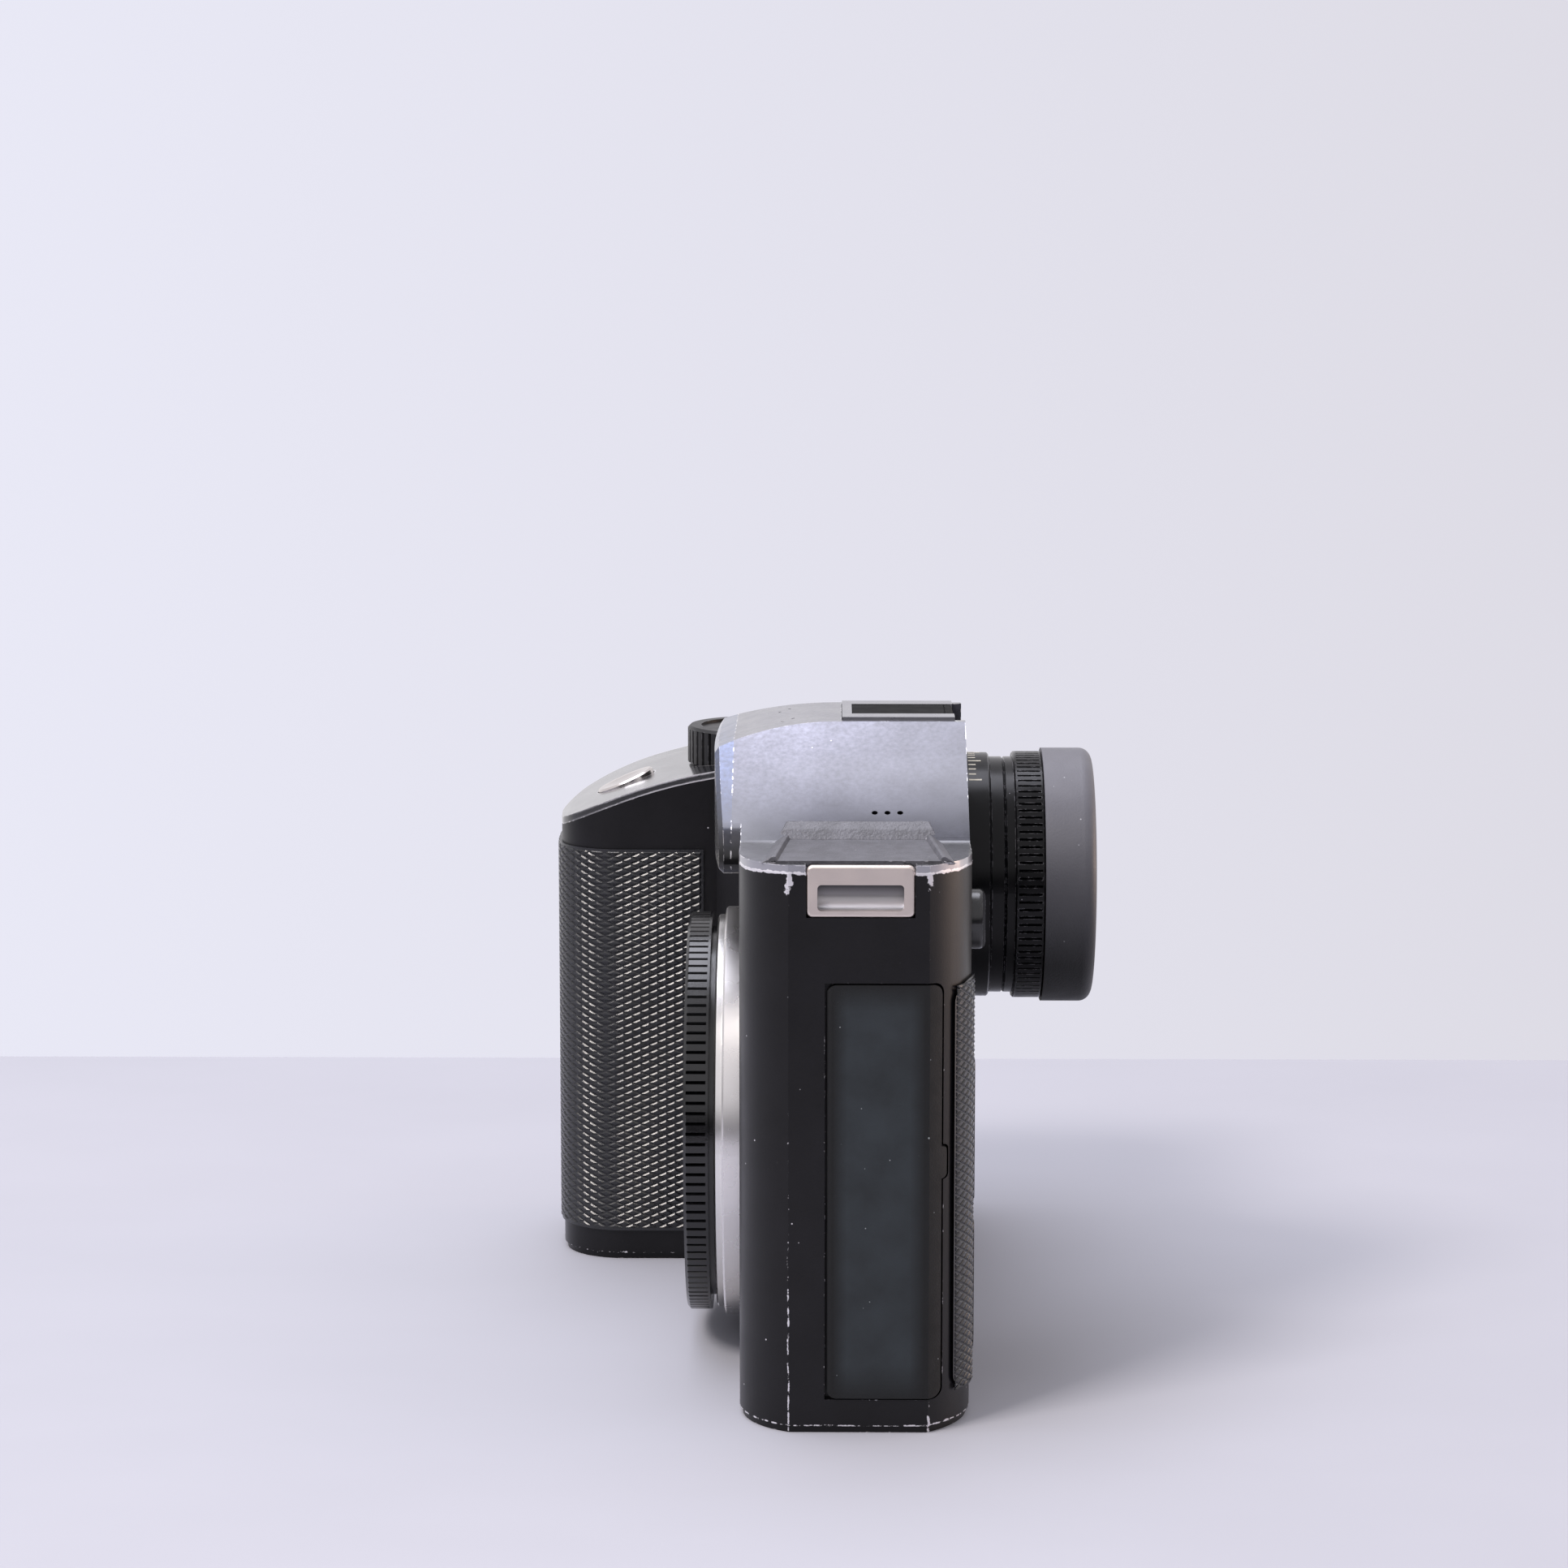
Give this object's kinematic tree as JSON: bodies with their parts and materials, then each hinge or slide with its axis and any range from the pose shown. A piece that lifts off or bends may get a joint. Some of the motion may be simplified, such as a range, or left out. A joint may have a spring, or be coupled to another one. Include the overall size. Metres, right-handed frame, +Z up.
{
  "type": "mirrorless camera",
  "caption": "Mirrorless camera body with body cap: milled housing, deep grip, finder hump with round eyepiece, hot shoe, port and card doors, removable battery.",
  "frame": {"origin": "mouth of the tripod socket on the base, under the lens axis, at mid depth of the housing", "axes": "+X towards the left side (port door) as the user holds it, +Y from the lens towards the eyepiece, +Z up"},
  "size_m": [0.1482, 0.0915, 0.1045],
  "materials": {
    "black_anodised": "black anodised, satin, worn to bright metal on the edges",
    "nose_anodised": "black anodised, satin",
    "antenna_plastic": "moulded, fine spark-eroded grain",
    "covering_rubber": "embossed with small diamonds",
    "lug_steel": "satin stainless steel, bright upper edge",
    "mount_steel": "turned, satin",
    "mount_ring_metal": "turned, satin",
    "screw_steel": "machined",
    "gold_contacts": "gold plated",
    "button_metal": "black anodised, satin",
    "cap_plastic": "moulded, glossy",
    "eyecup_rubber": "moulded, matt, dusty",
    "shutter_metal": "satin",
    "shoe_steel": "satin",
    "black_plastic": "moulded, matt",
    "lens_glass": "polished, coated",
    "filter_glass": "coated",
    "display_glass": "polished, black behind",
    "display_module": "dark display, switched off",
    "stick_rubber": "moulded",
    "stick_metal": "stamped",
    "door_rubber": "moulded, satin, dusty",
    "socket_steel": "tinned sheet",
    "circuit_board": "solder resist",
    "blade_metal": "black coated sheet",
    "sensor_ceramic": "package with a dark imaging face",
    "carrier_metal": "machined"
  },
  "bodies": {
    "housing": {"antenna_cover": "antenna_plastic", "base_plate": "black_anodised", "battery_box": "black_plastic", "body_shell": "black_anodised", "card_door_pin": "screw_steel", "card_slots": "socket_steel", "control_bracket": "black_plastic", "eyepiece_barrel": "button_metal", "eyepiece_lens": "lens_glass", "filter_glass": "filter_glass", "finder_housing": "black_plastic", "grip_covering": "covering_rubber", "hot_shoe": "shoe_steel", "image_sensor": "sensor_ceramic", "lens_contacts": "gold_contacts", "lens_mount": "mount_steel", "main_board": "circuit_board", "monitor_glass": "display_glass", "monitor_panel": "display_module", "mount_base_ring": "mount_ring_metal", "nose_plate": "nose_anodised", "port_frame": "black_plastic", "port_sockets": "socket_steel", "rear_covering": "covering_rubber", "rear_panel": "black_anodised", "screws": "screw_steel", "sensor_carrier": "carrier_metal", "shoe_contacts": "gold_contacts", "shutter_unit": "black_plastic", "strap_lugs": "lug_steel", "thumb_covering": "covering_rubber", "top_cover": "black_anodised", "top_display_window": "display_glass", "tripod_socket": "screw_steel"},
    "release": {"release_button": "button_metal"},
    "cap": {"body_cap": "cap_plastic"},
    "diopter": {"diopter_ring": "button_metal", "eyecup": "eyecup_rubber"},
    "shoe_slide": {"shoe_cover": "black_plastic"},
    "shutter_release": {"shutter_button": "shutter_metal"},
    "dial": {"top_dial": "button_metal"},
    "wheel": {"thumbwheel": "button_metal"},
    "top_key_front": {"top_button_front": "black_plastic"},
    "top_key_rear": {"top_button_rear": "black_plastic"},
    "key_left_upper": {"long_button_1": "black_plastic"},
    "key_left_lower": {"long_button_2": "black_plastic"},
    "key_right_upper": {"long_button_3": "black_plastic"},
    "key_right_lower": {"long_button_4": "black_plastic"},
    "finder_key": {"finder_button": "black_plastic"},
    "switch": {"main_switch": "button_metal"},
    "gimbal": {"stick_ring": "stick_metal"},
    "stem": {"stick_stem": "black_plastic"},
    "stick": {"stick_cap": "stick_rubber"},
    "ports": {"port_door": "door_rubber"},
    "cards": {"card_door": "black_anodised"},
    "power": {"battery": "black_plastic"},
    "latch": {"battery_lever": "button_metal"},
    "blade_low": {"shutter_blade_1": "blade_metal"},
    "blade_middle": {"shutter_blade_2": "blade_metal"},
    "blade_high": {"shutter_blade_3": "blade_metal"}
  },
  "joints": [
    {"name": "lens_release_press", "type": "slide", "parent": "housing", "child": "release", "axis": [0, 1, 0], "range_m": [0, 0.0012], "stiffness_N_per_m": 1200, "springref_m": -0.0004},
    {"name": "cap_pull", "type": "slide", "parent": "housing", "child": "cap", "axis": [0, -1, 0], "range_m": [0, 0.06]},
    {"name": "diopter_turn", "type": "hinge", "parent": "housing", "child": "diopter", "pos_m": [0, 0.02595, 0.077], "axis": [0, 1, 0], "range_deg": [-30, 30]},
    {"name": "shoe_cover_slide", "type": "slide", "parent": "housing", "child": "shoe_slide", "axis": [0, 1, 0], "range_m": [0, 0.022]},
    {"name": "shutter_press", "type": "slide", "parent": "housing", "child": "shutter_release", "axis": [0, 0.4019, -0.9157], "range_m": [0, 0.0009], "stiffness_N_per_m": 600, "springref_m": -0.0004},
    {"name": "dial_turn", "type": "hinge", "parent": "housing", "child": "dial", "pos_m": [-0.062, -0.0175, 0.0873], "axis": [0, 0, 1], "continuous": true},
    {"name": "wheel_turn", "type": "hinge", "parent": "housing", "child": "wheel", "pos_m": [-0.062, 0.0088, 0.0802], "axis": [0, 0, 1], "continuous": true},
    {"name": "top_key_front_press", "type": "slide", "parent": "housing", "child": "top_key_front", "axis": [0, 0, -1], "range_m": [0, 0.0005], "stiffness_N_per_m": 700, "springref_m": -0.0004},
    {"name": "top_key_rear_press", "type": "slide", "parent": "housing", "child": "top_key_rear", "axis": [0, 0, -1], "range_m": [0, 0.0005], "stiffness_N_per_m": 700, "springref_m": -0.0004},
    {"name": "key_left_upper_press", "type": "slide", "parent": "housing", "child": "key_left_upper", "axis": [0, -1, 0], "range_m": [0, 0.0005], "stiffness_N_per_m": 700, "springref_m": -0.0004},
    {"name": "key_left_lower_press", "type": "slide", "parent": "housing", "child": "key_left_lower", "axis": [0, -1, 0], "range_m": [0, 0.0005], "stiffness_N_per_m": 700, "springref_m": -0.0004},
    {"name": "key_right_upper_press", "type": "slide", "parent": "housing", "child": "key_right_upper", "axis": [0, -1, 0], "range_m": [0, 0.0005], "stiffness_N_per_m": 700, "springref_m": -0.0004},
    {"name": "key_right_lower_press", "type": "slide", "parent": "housing", "child": "key_right_lower", "axis": [0, -1, 0], "range_m": [0, 0.0005], "stiffness_N_per_m": 700, "springref_m": -0.0004},
    {"name": "finder_key_press", "type": "slide", "parent": "housing", "child": "finder_key", "axis": [0, -1, 0], "range_m": [0, 0.0005], "stiffness_N_per_m": 700, "springref_m": -0.0004},
    {"name": "switch_turn", "type": "hinge", "parent": "housing", "child": "switch", "pos_m": [0.04, 0.0179, 0.0766], "axis": [0, 1, 0], "range_deg": [0, 60]},
    {"name": "stick_nod", "type": "hinge", "parent": "housing", "child": "gimbal", "pos_m": [-0.055, 0.0132, 0.0616], "axis": [1, 0, 0], "range_deg": [-8, 8], "stiffness_Nm_per_rad": 0.05},
    {"name": "stick_tilt", "type": "hinge", "parent": "gimbal", "child": "stem", "pos_m": [-0.055, 0.0132, 0.0616], "axis": [0, 0, 1], "range_deg": [-8, 8], "stiffness_Nm_per_rad": 0.05},
    {"name": "stick_press", "type": "slide", "parent": "stem", "child": "stick", "axis": [0, -1, 0], "range_m": [0, 0.0004], "stiffness_N_per_m": 500, "springref_m": -0.0004},
    {"name": "port_door_swing", "type": "hinge", "parent": "housing", "child": "ports", "pos_m": [0.0605, -0.0036, 0.0378], "axis": [0, 0, -1], "range_deg": [0, 90]},
    {"name": "card_door_swing", "type": "hinge", "parent": "housing", "child": "cards", "pos_m": [-0.0853, -0.0133, 0.043], "axis": [0, 0, 1], "range_deg": [0, 90]},
    {"name": "battery_slide", "type": "slide", "parent": "housing", "child": "power", "axis": [0, 0, -1], "range_m": [0, 0.064]},
    {"name": "battery_lever_turn", "type": "hinge", "parent": "housing", "child": "latch", "pos_m": [-0.037, -0.0105, 0], "axis": [0, 0, -1], "range_deg": [0, 40], "stiffness_Nm_per_rad": 0.02, "springref_deg": -17.19},
    {"name": "blade_low_slide", "type": "slide", "parent": "housing", "child": "blade_low", "axis": [0, 0, -1], "range_m": [0, 0.0252]},
    {"name": "blade_middle_slide", "type": "slide", "parent": "housing", "child": "blade_middle", "axis": [0, 0, -1], "range_m": [0, 0.01681]},
    {"name": "blade_high_slide", "type": "slide", "parent": "housing", "child": "blade_high", "axis": [0, 0, -1], "range_m": [0, 0.00841]}
  ],
  "couplings": [
    {"joint": "blade_middle_slide", "follows": "blade_low_slide", "ratio": 0.66667},
    {"joint": "blade_high_slide", "follows": "blade_low_slide", "ratio": 0.33333}
  ]
}
